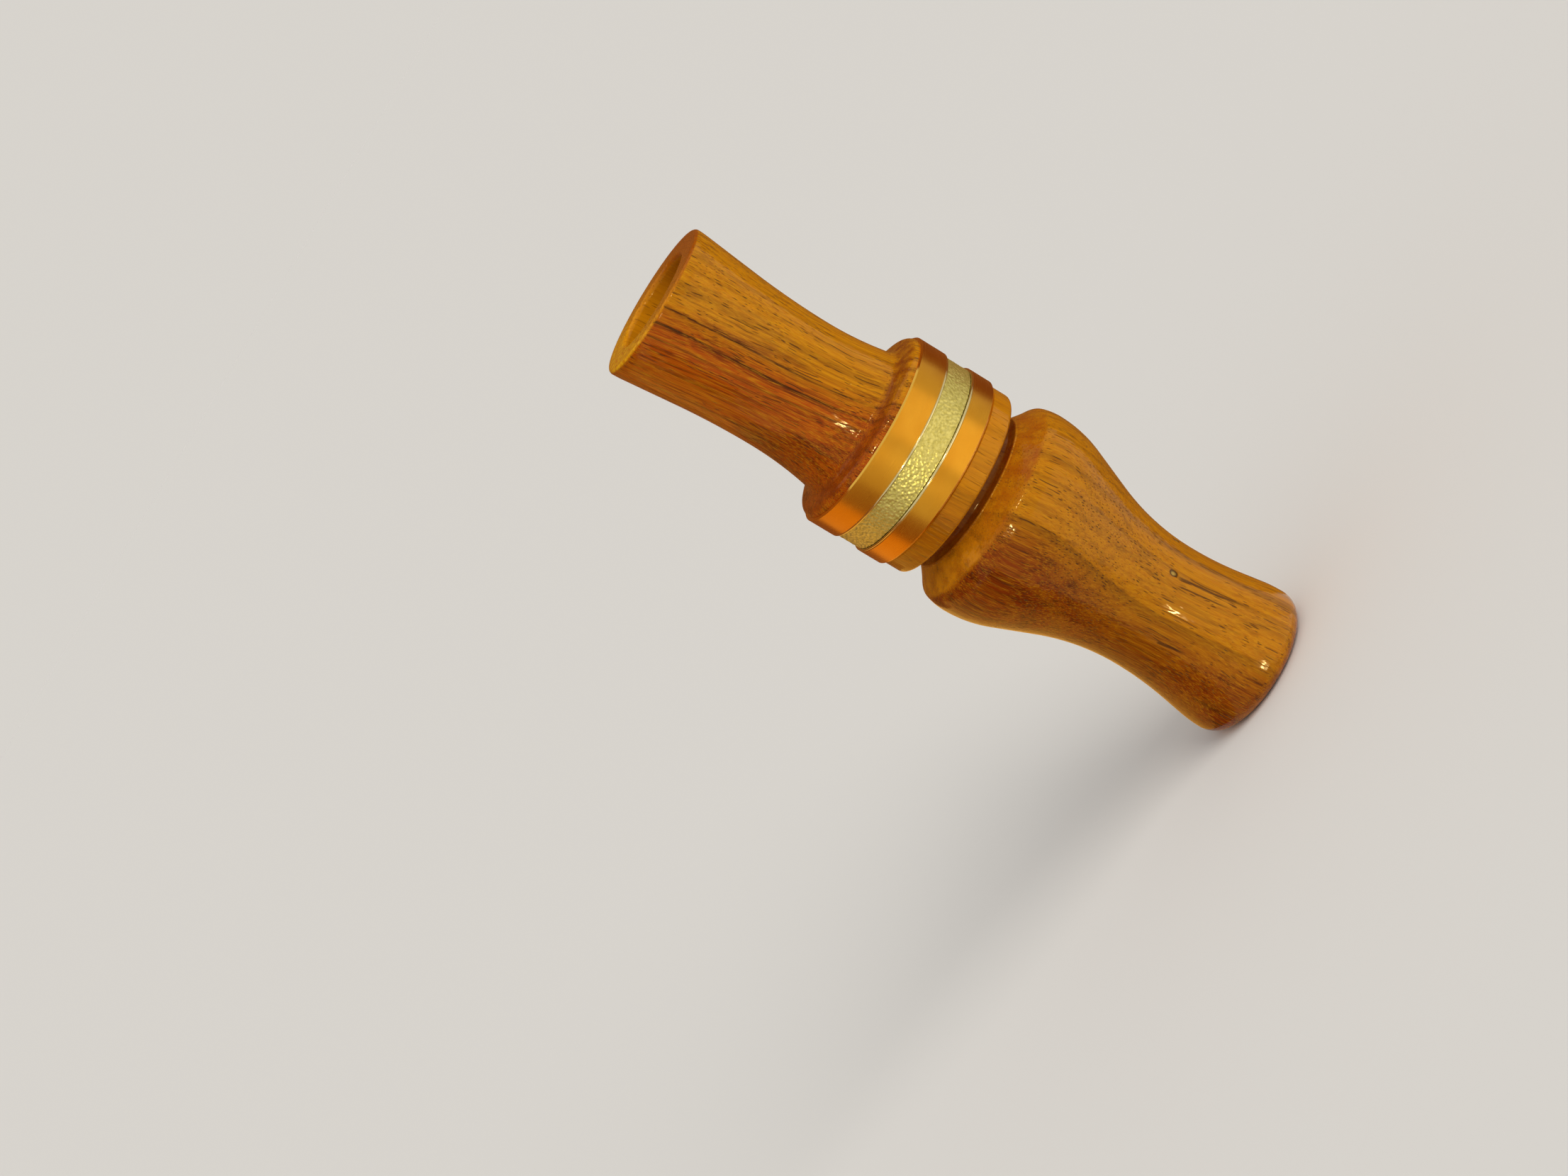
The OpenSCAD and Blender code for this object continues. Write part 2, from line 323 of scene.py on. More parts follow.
def swayed(tree, place, stretch, reach):
    """Coordinates that wander sideways by up to half the reach, so that lines along Z waver."""
    noise = tree.nodes.new("ShaderNodeTexNoise")
    feed(tree, noise.inputs["Vector"], stretched(tree, place, stretch))
    noise.inputs["Scale"].default_value = 1
    noise.inputs["Detail"].default_value = 1
    node = tree.nodes.new("ShaderNodeVectorMath")
    node.operation = "MULTIPLY_ADD"
    feed(tree, node.inputs[0], noise.outputs["Color"])
    node.inputs[1].default_value = (reach, reach, 0)
    feed(tree, node.inputs[2], place)
    return node.outputs[0]


def shader_group(name, inputs, outputs):
    """A new node group with named sockets: its tree, its inputs and its outputs."""
    tree = bpy.data.node_groups.new(name, "ShaderNodeTree")
    for label, kind in inputs.items():
        tree.interface.new_socket(label, in_out="INPUT", socket_type=kind)
    for label, kind in outputs.items():
        tree.interface.new_socket(label, in_out="OUTPUT", socket_type=kind)
    return tree, tree.nodes.new("NodeGroupInput").outputs, tree.nodes.new("NodeGroupOutput").inputs


def build_wood_grain():
    """The streaked wood as a solid pattern: Place is in mm with the grain along Z."""
    tree, given, made = shader_group(
        "Wood grain",
        {"Place": "NodeSocketVector", "Border": "NodeSocketFloat", "Softness": "NodeSocketFloat",
         "Vein": "NodeSocketFloat", "Light": "NodeSocketColor", "Red": "NodeSocketColor",
         "Streak": "NodeSocketColor", "Pore": "NodeSocketColor"},
        {"Color": "NodeSocketColor", "Pores": "NodeSocketFloat", "Relief": "NodeSocketFloat"})
    place = swayed(tree, given["Place"], (0.06, 0.06, 0.03), 2.2)
    split = tree.nodes.new("ShaderNodeSeparateXYZ")
    feed(tree, split.inputs[0], place)
    lean = math.radians(28)
    across = calc(tree, "MULTIPLY", split.outputs["X"], math.cos(lean))
    depth = calc(tree, "MULTIPLY_ADD", split.outputs["Y"], math.sin(lean), across)
    rings = layers(tree, depth, 0.55, 3)
    lines = layers(tree, depth, 1.3, 2)
    streaks = cloud(tree, place, (0.75, 0.75, 0.016), 4, 0.62)
    strands = cloud(tree, place, (2.3, 2.3, 0.05), 3, 0.6)
    fibres = cloud(tree, place, (7.0, 7.0, 0.22), 3, 0.65)
    flecks = cloud(tree, place, (5.0, 5.0, 0.9), 2)

    from_border = calc(tree, "SUBTRACT", depth, given["Border"])
    ragged = calc(tree, "ADD", from_border, calc(tree, "MULTIPLY_ADD", streaks, 6.0, -3.0))
    zone = fade(tree, ragged, calc(tree, "MULTIPLY", given["Softness"], -1.0), given["Softness"])
    colour = tint(tree, zone, given["Red"], given["Light"])
    dark_share = calc(tree, "MULTIPLY_ADD", zone, -0.25, 0.6)
    dark = calc(tree, "MULTIPLY", fade(tree, streaks, 0.5, 0.3), dark_share)
    colour = tint(tree, dark, colour, given["Streak"])
    colour = tint(tree, calc(tree, "MULTIPLY", fade(tree, rings, 0.54, 0.34), 0.3), colour, given["Streak"])
    colour = tint(tree, calc(tree, "MULTIPLY", fade(tree, rings, 0.5, 0.7), 0.22), colour, given["Light"])
    near_border = fade(tree, calc(tree, "ABSOLUTE", calc(tree, "ADD", from_border, 0.8)), 5.5, 0.8)
    vein = calc(tree, "MULTIPLY", fade(tree, lines, 0.5, 0.36),
                calc(tree, "MULTIPLY_ADD", near_border, 0.75, 0.15))
    vein = calc(tree, "MULTIPLY", vein, fade(tree, strands, 0.72, 0.42))
    colour = tint(tree, calc(tree, "MULTIPLY", vein, given["Vein"]), colour, given["Streak"])
    stripes = calc(tree, "MULTIPLY", fade(tree, strands, 0.52, 0.3),
                   calc(tree, "MULTIPLY_ADD", zone, -0.3, 0.5))
    colour = tint(tree, stripes, colour, given["Streak"])
    threads = calc(tree, "MULTIPLY", fade(tree, fibres, 0.47, 0.68),
                   calc(tree, "MULTIPLY_ADD", zone, -0.35, 0.6))
    colour = tint(tree, threads, colour, given["Light"])
    shade = calc(tree, "MULTIPLY_ADD", fibres, 1.1, 0.25)
    shade = calc(tree, "MULTIPLY_ADD", strands, 0.4, shade)
    shade = calc(tree, "MULTIPLY_ADD", flecks, 0.2, shade)
    warmth = tree.nodes.new("ShaderNodeCombineColor")
    for socket, power in zip(warmth.inputs, (0.55, 1.25, 1.5)):
        feed(tree, socket, calc(tree, "POWER", shade, power))
    colour = tint(tree, 1.0, colour, warmth.outputs[0], "MULTIPLY")

    cells = tree.nodes.new("ShaderNodeTexVoronoi")
    cells.voronoi_dimensions = "2D"
    feed(tree, cells.inputs["Vector"], swayed(tree, place, (0.35, 0.35, 0.2), 0.9))
    cells.inputs["Scale"].default_value = 2.7
    cell_colour = tree.nodes.new("ShaderNodeSeparateColor")
    feed(tree, cell_colour.inputs[0], cells.outputs["Color"])
    crowd = calc(tree, "MULTIPLY_ADD", fade(tree, rings, 0.62, 0.4), 0.55, 0.5)
    size = calc(tree, "MULTIPLY", calc(tree, "MULTIPLY", cell_colour.outputs[0], 0.24), crowd)
    pores = fade(tree, calc(tree, "SUBTRACT", size, cells.outputs["Distance"]), -0.06, 0.06)
    colour = tint(tree, calc(tree, "MULTIPLY", pores, 0.8), colour, given["Pore"])
    feed(tree, made["Color"], colour)
    feed(tree, made["Pores"], pores)
    feed(tree, made["Relief"], calc(tree, "SUBTRACT", cloud(tree, place, (1.7, 1.7, 0.5), 1), pores))
    return tree


wood_grain = build_wood_grain()


def new_material(name):
    """An empty node material: the material, its tree, its Principled shader and its Object coordinates."""
    material = bpy.data.materials.new(name)
    material.use_nodes = True
    tree = material.node_tree
    shader = tree.nodes["Principled BSDF"]
    place = tree.nodes.new("ShaderNodeTexCoord").outputs["Object"]
    return material, tree, shader, place


def bump(tree, shader, height, depth):
    """Feeds a height from 0 to 1 to the shader's normal, as a relief of the given depth in metres."""
    node = tree.nodes.new("ShaderNodeBump")
    node.inputs["Distance"].default_value = depth
    feed(tree, node.inputs["Height"], height)
    feed(tree, shader.inputs["Normal"], node.outputs["Normal"])


def streak_mask(tree, place, start, end, width):
    """1 along a wavering line on a turned surface between two places, 0 away from it."""
    along = (end - start).normalized()
    out = Vector((start.x + end.x, start.y + end.y, 0)).normalized()
    tangent = out.cross(along).normalized()
    axes = Matrix((tangent, along.cross(tangent), along)).transposed()
    local = tree.nodes.new("ShaderNodeMapping")
    local.vector_type = "TEXTURE"
    feed(tree, local.inputs["Vector"], place)
    local.inputs["Location"].default_value = start
    local.inputs["Rotation"].default_value = axes.to_euler()
    split = tree.nodes.new("ShaderNodeSeparateXYZ")
    feed(tree, split.inputs[0], local.outputs[0])
    waver = cloud(tree, place, (420, 420, 160), 3, 0.6)
    waver = calc(tree, "MULTIPLY_ADD", waver, 2.4 * width, -1.2 * width)
    aside = calc(tree, "ABSOLUTE", calc(tree, "ADD", split.outputs["X"], waver))
    mask = calc(tree, "MULTIPLY", fade(tree, aside, width, 0.2 * width),
                fade(tree, calc(tree, "ABSOLUTE", split.outputs["Y"]), 4 * mm, 3 * mm))
    long = (end - start).length
    mask = calc(tree, "MULTIPLY", mask, fade(tree, split.outputs["Z"], 0, 0.1 * long))
    return calc(tree, "MULTIPLY", mask, fade(tree, split.outputs["Z"], long, 0.6 * long))


def lacquered_wood(name, grain_lean, grain_shift, border, softness, vein, light, red, end_colours,
                   marks=(), streaks=(), bands=(), pale_end=1.0, pale_bore=0.0):
    """Gloss lacquer over the wood grain.
    End grain takes its colours from left to right as painted light, the first on the lit left and the
    second on the shaded right, and a face above the pale end is paler as a painted reflection.
    Inside the radius of a pale bore the wood is painted lighter, as painted light in the bore.
    Marks are dark spots with a painted highlight in the middle, streaks are dark lines, and bands are
    tinted rings between two heights."""
    material, tree, shader, place = new_material(name)
    to_grain = tree.nodes.new("ShaderNodeMapping")
    feed(tree, to_grain.inputs["Vector"], place)
    to_grain.inputs["Scale"].default_value = (1 / mm, 1 / mm, 1 / mm)
    to_grain.inputs["Rotation"].default_value = (0, math.radians(grain_lean), 0)
    to_grain.inputs["Location"].default_value = grain_shift
    grain = tree.nodes.new("ShaderNodeGroup")
    grain.node_tree = wood_grain
    for label, value in (("Place", to_grain.outputs[0]), ("Border", border), ("Softness", softness),
                         ("Vein", vein), ("Light", light), ("Red", red),
                         ("Streak", wood_streak), ("Pore", wood_pore)):
        feed(tree, grain.inputs[label], value)
    normal = tree.nodes.new("ShaderNodeSeparateXYZ")
    feed(tree, normal.inputs[0], tree.nodes.new("ShaderNodeNewGeometry").outputs["Normal"])
    end_grain = fade(tree, calc(tree, "ABSOLUTE", normal.outputs["Z"]), 0.3, 0.9)
    mottle = fade(tree, cloud(tree, place, (420, 420, 420), 3, 0.6), 0.3, 0.7)
    end_grain = calc(tree, "MULTIPLY", end_grain, calc(tree, "MULTIPLY_ADD", mottle, 0.7, 0.2))
    spread = tree.nodes.new("ShaderNodeSeparateXYZ")
    feed(tree, spread.inputs[0], place)
    # A ramp from left to right, used as painted light: lit on the left, shaded on the right
    side = fade(tree, spread.outputs["X"], -9 * mm, 0)
    end_colour = tint(tree, side, *end_colours)
    colour = tint(tree, end_grain, grain.outputs["Color"], end_colour)
    pale = calc(tree, "MULTIPLY", fade(tree, spread.outputs["Z"], pale_end - mm, pale_end),
                fade(tree, calc(tree, "ABSOLUTE", normal.outputs["Z"]), 0.25, 0.7))
    # The face above the pale end is a painted reflection: pale gold on the left, with redder painted shade
    # on the right
    mouth_face_painted_reflection = tint(tree, fade(tree, cloud(tree, place, (1300, 1300, 300), 3, 0.6), 0.35, 0.65),
                      tint(tree, side, wood_end_gold, insert_light_wood_and_painted_lit_side),
                      tint(tree, side, painted_reflection_pale, wood_end_gold))
    painted_shade_side = fade(tree, spread.outputs["X"], -2 * mm, 10 * mm)
    mouth_face_painted_reflection = tint(tree, calc(tree, "MULTIPLY", painted_shade_side, 0.8), mouth_face_painted_reflection, wood_end_red)
    mouth_face_painted_reflection = tint(tree, calc(tree, "MULTIPLY", grain.outputs["Pores"], 0.6), mouth_face_painted_reflection, wood_pore)
    colour = tint(tree, calc(tree, "MULTIPLY", pale, 0.88), colour, mouth_face_painted_reflection)
    from_axis = tree.nodes.new("ShaderNodeVectorMath")
    from_axis.operation = "LENGTH"
    feed(tree, from_axis.inputs[0], stretched(tree, place, (1, 1, 0)))
    # Painted light inside the bore: lighter, gold on the left and redder on the right
    bare = fade(tree, from_axis.outputs["Value"], pale_bore + tint_blur, pale_bore)
    colour = tint(tree, calc(tree, "MULTIPLY", bare, 0.5), colour,
                  tint(tree, painted_shade_side, wood_end_gold, wood_end_red))
    for low, high, band_colour, share in bands:
        inside = calc(tree, "MULTIPLY", fade(tree, spread.outputs["Z"], low - tint_blur, low + tint_blur),
                      fade(tree, spread.outputs["Z"], high + tint_blur, high - tint_blur))
        colour = tint(tree, calc(tree, "MULTIPLY", inside, share), colour, band_colour)
    for start, end, width in streaks:
        mask = streak_mask(tree, place, start, end, width)
        colour = tint(tree, calc(tree, "MULTIPLY", mask, 0.8), colour, wood_streak)
    for spot, reach in marks:
        away = tree.nodes.new("ShaderNodeVectorMath")
        away.operation = "DISTANCE"
        feed(tree, away.inputs[0], stretched(tree, place, pit_stretch))
        away.inputs[1].default_value = [c * s for c, s in zip(spot, pit_stretch)]
        # Each mark is dark round its edge, with a light painted highlight in its middle
        pit_ring = fade(tree, away.outputs["Value"], reach, 0.6 * reach)
        pit_highlight_mask = fade(tree, away.outputs["Value"], 0.7 * reach, 0.15 * reach)
        colour = tint(tree, pit_ring, colour, wood_pore)
        colour = tint(tree, pit_highlight_mask, colour, painted_pit_highlight)
    feed(tree, shader.inputs["Base Color"], colour)
    feed(tree, shader.inputs["Roughness"], calc(tree, "MULTIPLY_ADD", grain.outputs["Pores"], 0.25, 0.11))
    shader.inputs["Specular IOR Level"].default_value = 0.22
    shader.inputs["Specular Tint"].default_value = (1, 0.78, 0.42, 1)
    bump(tree, shader, grain.outputs["Relief"], lacquer_relief)
    return material


def dress(piece, material, node):
    """Gives a piece its finish, and lets it stand for its CAD node."""
    piece.data.materials.clear()
    piece.data.materials.append(material)
    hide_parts(node)


# The insert's light and red wood are partly its own two tones and partly painted light and shade: the light
# wood lies on the lit +X side, and the red is darkened as painted shade
insert_light_wood_and_painted_lit_side = paint(184, 112, 9)
insert_red_wood_and_painted_shade = paint(132, 46, 5)
wood_streak = paint(62, 28, 8)
wood_pore = paint(66, 31, 7)
painted_pit_highlight = paint(176, 144, 70)
pit_stretch = (1, 1, 0.62)
wood_end_red = paint(146, 58, 8)
wood_end_gold = paint(212, 134, 12)
painted_reflection_pale = paint(250, 186, 24)
# Painted shade for the floor of the lanyard groove
groove_painted_shade = paint(112, 36, 4)
tint_blur = 0.3 * mm
lacquer_relief = 0.045 * mm
# The pits' marks: dark like the filled wood, with a painted highlight in the middle of each
pit_marks = [(place - Vector((place.x, place.y, 0)).normalized() * 0.8 * depth, 0.66 * reach)
             for place, reach, depth in pits]
insert_streaks = [(Vector((5.11, -9.33, 22.3)) * mm, Vector((6.9, -9.42, 8)) * mm, 0.34 * mm),
                  (Vector((3.9, -9.9, 21.4)) * mm, Vector((5.3, -10.2, 11)) * mm, 0.22 * mm),
                  (Vector((-4.97, -9.29, 19.6)) * mm, Vector((-4.18, -9.98, 14.1)) * mm, 0.3 * mm)]
# Tinted rings: the facet lighter gold as painted light, the lanyard groove darker as painted shade, and the
# lip tinted gold
insert_rings_painted_light_and_shade = [(lip_face - arris[0], lip_face - ridge_at, wood_end_gold, 0.15),
                (lip_face - ridge_at, lip_face - lip_w, groove_painted_shade, 0.7),
                (lip_face - lip_w, lip_face, wood_end_gold, 0.35)]
# The insert's end grain is painted lit gold on the left and shaded red on the right
insert_finish = lacquered_wood(
    "insert_lacquered_wood", grain_lean=4, grain_shift=(3, 1, 210), border=-2.5, softness=4.5, vein=0.3,
    light=insert_light_wood_and_painted_lit_side, red=insert_red_wood_and_painted_shade, end_colours=(wood_end_gold, wood_end_red),
    marks=pit_marks, streaks=insert_streaks, bands=insert_rings_painted_light_and_shade)
dress(insert, insert_finish, "insert")
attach(insert, "insert")

# Toneboard: a moulded black plastic board whose round shank is glued in the insert's socket.
# An air channel runs up it from the exhaust to the open flat, which falls away under the reed.
# A slot across the flat holds the reed's tail and its wedge. The mould leaves its edges softly rounded.
board_edge = 0.14 * mm


def copy_of_node(name, node, edge):
    """A rounded-off copy of a CAD node: its triangles are merged into whole faces and its edges rounded."""
    bpy.ops.object.select_all(action="DESELECT")
    piece = bpy.data.objects.new(name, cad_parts[node].data.copy())
    bpy.context.scene.collection.objects.link(piece)
    bpy.context.view_layer.objects.active = piece
    piece.select_set(True)
    bpy.ops.object.mode_set(mode="EDIT")
    bpy.ops.mesh.select_mode(type="VERT")
    bpy.ops.mesh.select_all(action="SELECT")
    bpy.ops.mesh.remove_doubles(threshold=mm / 500)
    bpy.ops.mesh.dissolve_limited(angle_limit=math.radians(0.8))
    bpy.ops.object.mode_set(mode="OBJECT")
    rounding = piece.modifiers.new("rounding", "BEVEL")
    rounding.width = edge
    rounding.segments = 3
    rounding.limit_method = "ANGLE"
    rounding.angle_limit = math.radians(28)
    bpy.ops.object.modifier_apply(modifier="rounding")
    bpy.ops.object.shade_smooth_by_angle(angle=crease)
    return piece


toneboard = copy_of_node("moulded_toneboard", "toneboard", board_edge)


def moulded_black():
    """Satin black plastic with the fine cloudy texture and faint flow lines of a mould."""
    material, tree, shader, place = new_material("moulded_black_plastic")
    flow = cloud(tree, place, (500, 500, 90), 3, 0.6)
    black = tint(tree, fade(tree, flow, 0.3, 0.7), paint(30, 30, 32), paint(44, 43, 43))
    feed(tree, shader.inputs["Base Color"], black)
    spark = cloud(tree, place, (9000, 9000, 9000), 2)
    feed(tree, shader.inputs["Roughness"], calc(tree, "MULTIPLY_ADD", flow, 0.2, 0.28))
    bump(tree, shader, calc(tree, "ADD", calc(tree, "MULTIPLY", spark, 0.3), flow), 0.01 * mm)
    return material


dress(toneboard, moulded_black(), "toneboard")
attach(toneboard, "insert")

# Reed: a strip of clear polyester film with rounded tip corners, laid on the flat of the toneboard.
# The wedge holds its tail, and the free length bends down on the falling flat when the call is blown.
reed_low, reed_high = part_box("reed")
reed_t = reed_high.y - reed_low.y
reed_tip_round = 3 * mm
reed_cuts = 44
film_edge = 0.05 * mm

bpy.ops.object.select_all(action="DESELECT")
bpy.ops.mesh.primitive_plane_add(size=1, rotation=(math.pi / 2, 0, 0))
reed = bpy.context.object
reed.name = "film_reed"
reed.scale = (reed_high.x - reed_low.x, reed_high.z - reed_low.z, 1)
reed.location = (0, (reed_low.y + reed_high.y) / 2, (reed_low.z + reed_high.z) / 2)
bpy.ops.object.transform_apply(location=True, rotation=True, scale=True)
bpy.ops.object.mode_set(mode="EDIT")
bpy.ops.mesh.select_mode(type="VERT")
bpy.ops.mesh.select_all(action="DESELECT")
bpy.ops.object.mode_set(mode="OBJECT")
for corner in reed.data.vertices:
    corner.select = corner.co.z > reed_high.z - mm / 10
bpy.ops.object.mode_set(mode="EDIT")
bpy.ops.mesh.bevel(affect="VERTICES", offset=reed_tip_round, segments=12, profile=0.5)
for i in range(1, reed_cuts):
    bpy.ops.mesh.select_all(action="SELECT")
    cut_height = reed_low.z + (reed_high.z - reed_low.z) * i / reed_cuts
    bpy.ops.mesh.bisect(plane_co=(0, 0, cut_height), plane_no=(0, 0, 1))
bpy.ops.object.mode_set(mode="OBJECT")
film = reed.modifiers.new("film", "SOLIDIFY")
film.thickness = reed_t
film.offset = 0
bpy.ops.object.modifier_apply(modifier="film")
soft_edge = reed.modifiers.new("soft_edge", "BEVEL")
soft_edge.width = film_edge
soft_edge.segments = 2
soft_edge.limit_method = "ANGLE"
soft_edge.angle_limit = math.radians(40)
bpy.ops.object.modifier_apply(modifier="soft_edge")
bpy.ops.object.shade_smooth_by_angle(angle=crease)


def clear_film():
    """Milky clear polyester with the long fine scratches of the sheet it was cut from."""
    material, tree, shader, place = new_material("clear_polyester_film")
    scratches = cloud(tree, place, (9000, 9000, 160), 3, 0.6)
    haze = cloud(tree, place, (320, 320, 320), 2)
    feed(tree, shader.inputs["Base Color"], tint(tree, haze, paint(226, 219, 192), paint(240, 236, 218)))
    feed(tree, shader.inputs["Roughness"], calc(tree, "MULTIPLY_ADD", scratches, 0.25, 0.12))
    shader.inputs["Transmission Weight"].default_value = 0.55
    shader.inputs["IOR"].default_value = 1.57
    bump(tree, shader, scratches, 0.004 * mm)
    return material


dress(reed, clear_film(), "reed")
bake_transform(reed)

# Reed wedge: a slice of pressed cork, cut with a blade to the width of the slot in the toneboard.
# It is pushed in by hand over the reed's tail and holds by friction alone.
cork_edge = 0.16 * mm
cork_grain = (1100, 1100, 1100)
wedge = copy_of_node("cork_wedge", "reed_wedge", cork_edge)


def pressed_cork():
    """Cork granules of different browns pressed together, with dark gaps and pits between them."""
    material, tree, shader, place = new_material("pressed_cork")
    granules = tree.nodes.new("ShaderNodeTexVoronoi")
    feed(tree, granules.inputs["Vector"], stretched(tree, place, cork_grain))
    granules.inputs["Scale"].default_value = 1
    shades = tree.nodes.new("ShaderNodeSeparateColor")
    feed(tree, shades.inputs[0], granules.outputs["Color"])
    gaps = tree.nodes.new("ShaderNodeTexVoronoi")
    gaps.feature = "DISTANCE_TO_EDGE"
    feed(tree, gaps.inputs["Vector"], stretched(tree, place, cork_grain))
    gaps.inputs["Scale"].default_value = 1
    gap = fade(tree, gaps.outputs["Distance"], 0.09, 0.0)
    colour = tint(tree, shades.outputs[0], paint(158, 112, 66), paint(196, 152, 100))
    fine = cloud(tree, place, (7000, 7000, 7000), 3)
    specks = calc(tree, "MULTIPLY", fade(tree, fine, 0.55, 0.35), 0.5)
    colour = tint(tree, specks, colour, paint(104, 66, 36))
    colour = tint(tree, calc(tree, "MULTIPLY", gap, 0.8), colour, paint(74, 44, 24))
    feed(tree, shader.inputs["Base Color"], colour)
    feed(tree, shader.inputs["Roughness"], calc(tree, "MULTIPLY_ADD", fine, 0.2, 0.7))
    bump(tree, shader, calc(tree, "SUBTRACT", fine, gap), 0.06 * mm)
    return material


dress(wedge, pressed_cork(), "reed_wedge")
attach(wedge, "wedge")

# O-rings: two black nitrile rings in grooves of the tenon, which seal the barrel and hold it by friction.
# Each is moulded in halves and keeps a hair of flash round its inside and outside.
flash = 0.02 * mm
ring_section = (arc((0, seal_r), seal_t / 2 - flash, 96, 264, 14) + [(0, seal_r - seal_t / 2)]
                + arc((0, seal_r), seal_t / 2 - flash, 276, 444, 14) + [(0, seal_r + seal_t / 2)])


def black_rubber():
    """Dull black rubber with a dusting of talc and fine mould texture."""
    material, tree, shader, place = new_material("black_nitrile_rubber")
    talc = cloud(tree, place, (700, 700, 1400), 3, 0.65)
    black = tint(tree, fade(tree, talc, 0.45, 0.8), paint(22, 22, 23), paint(48, 47, 46))
    feed(tree, shader.inputs["Base Color"], black)
    feed(tree, shader.inputs["Roughness"], calc(tree, "MULTIPLY_ADD", talc, 0.25, 0.42))
    bump(tree, shader, cloud(tree, place, (8000, 8000, 8000), 2), 0.008 * mm)
    return material


rubber = black_rubber()
for ring_node, ring_height in seal_heights.items():
    ring = turn_on_lathe("rubber_" + ring_node, ring_section[::-1], ring_height)
    dress(ring, rubber, ring_node)
    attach(ring, "seals")

# Barrel: the upper half, turned from the same wood: a flared mouth, a waist and a shoulder below the band.
# A collar past the shoulder carries the band, and the bore takes the tenon with its two seals.
# The grain leans a little across the axis, and a dark vein parts the light wood from the red.
mouth_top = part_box("barrel")[1].z
body_l = mouth_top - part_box("call_band")[1].z
barrel_l = mouth_top - lip_face
mouth_r = 12.3 * mm
rim_round = 0.6 * mm
waist_r = 10.7 * mm
waist_at = 23.8 * mm
foot_r = 11.65 * mm
shoulder_l = 3 * mm
foot_at = body_l - shoulder_l
shoulder_step = 0.5 * mm
shoulder_r = band_r - shoulder_step
collar_step = 1.63 * mm
collar_r = band_r - collar_step
throat_r = 7.65 * mm
throat_l = 9 * mm
throat_ease = 0.8 * mm

barrel = turn_on_lathe("turned_barrel", (
    arc((rim_round, mouth_r - rim_round), rim_round, 180, 90)
    + ogee((rim_round, mouth_r), (waist_at, waist_r), steepness=1.44, share=0.1)[1:]
    + flare((waist_at, waist_r), (foot_at, foot_r))[1:]
    + ogee((foot_at, foot_r), (body_l, shoulder_r), steepness=1.57, share=0.55)[1:]
    + [(body_l, collar_r), (barrel_l, collar_r), (barrel_l, bore_r)]
    + [(throat_l, bore_r), (throat_l, throat_r)]
    + arc((throat_ease, throat_r + throat_ease), throat_ease, 270, 180)
), mouth_top)
barrel_light = paint(192, 119, 10)
barrel_red = paint(174, 73, 8)
wood_shoulder = paint(124, 50, 9)
pale_reach = 3 * mm
# The mouth face above the pale end carries a painted reflection, and the bore painted light
barrel_finish = lacquered_wood(
    "barrel_lacquered_wood", grain_lean=6.5, grain_shift=(0, 0, 0), border=6.0, softness=2.9, vein=0.95,
    light=barrel_light, red=barrel_red, end_colours=(wood_shoulder, wood_shoulder),
    pale_end=mouth_top - pale_reach, pale_bore=bore_r)
dress(barrel, barrel_finish, "barrel")
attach(barrel, "barrel")

# Call band: a gold-coloured metal ring, turned and satin finished, glued over the collar.
# A channel is cut round it for the strip, and the cut leaves a narrow bright bead along both of its edges.
band_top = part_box("call_band")[1].z
band_w = band_top - lip_face
band_wall = 1.6 * mm
band_inner_r = band_r - band_wall
band_bevel = 0.25 * mm
strip_w = 4.2 * mm
strip_shift = 0.4 * mm
channel_near = (band_w - strip_w) / 2 + strip_shift
channel_far = channel_near + strip_w
channel_depth = 0.9 * mm
channel_r = band_r - channel_depth
strip_bevel = 0.35 * mm
bead_groove = 0.05 * mm
band_steps = 192
channel_bead = (
    [(channel_near - strip_bevel - bead_groove, band_r), (channel_near - strip_bevel, band_r - bead_groove)]
    + arc((channel_near - strip_bevel / 2, band_r - strip_bevel / 2), strip_bevel / 2, 150, 0, 10)
)

band = turn_on_lathe("gold_band", [
    (0, band_inner_r), (0, band_r - band_bevel), (band_bevel, band_r),
    *channel_bead, (channel_near, channel_r),
    (channel_far, channel_r), *[(channel_near + channel_far - d, r) for d, r in reversed(channel_bead)],
    (band_w - band_bevel, band_r), (band_w, band_r - band_bevel), (band_w, band_inner_r)
], band_top, band_steps)


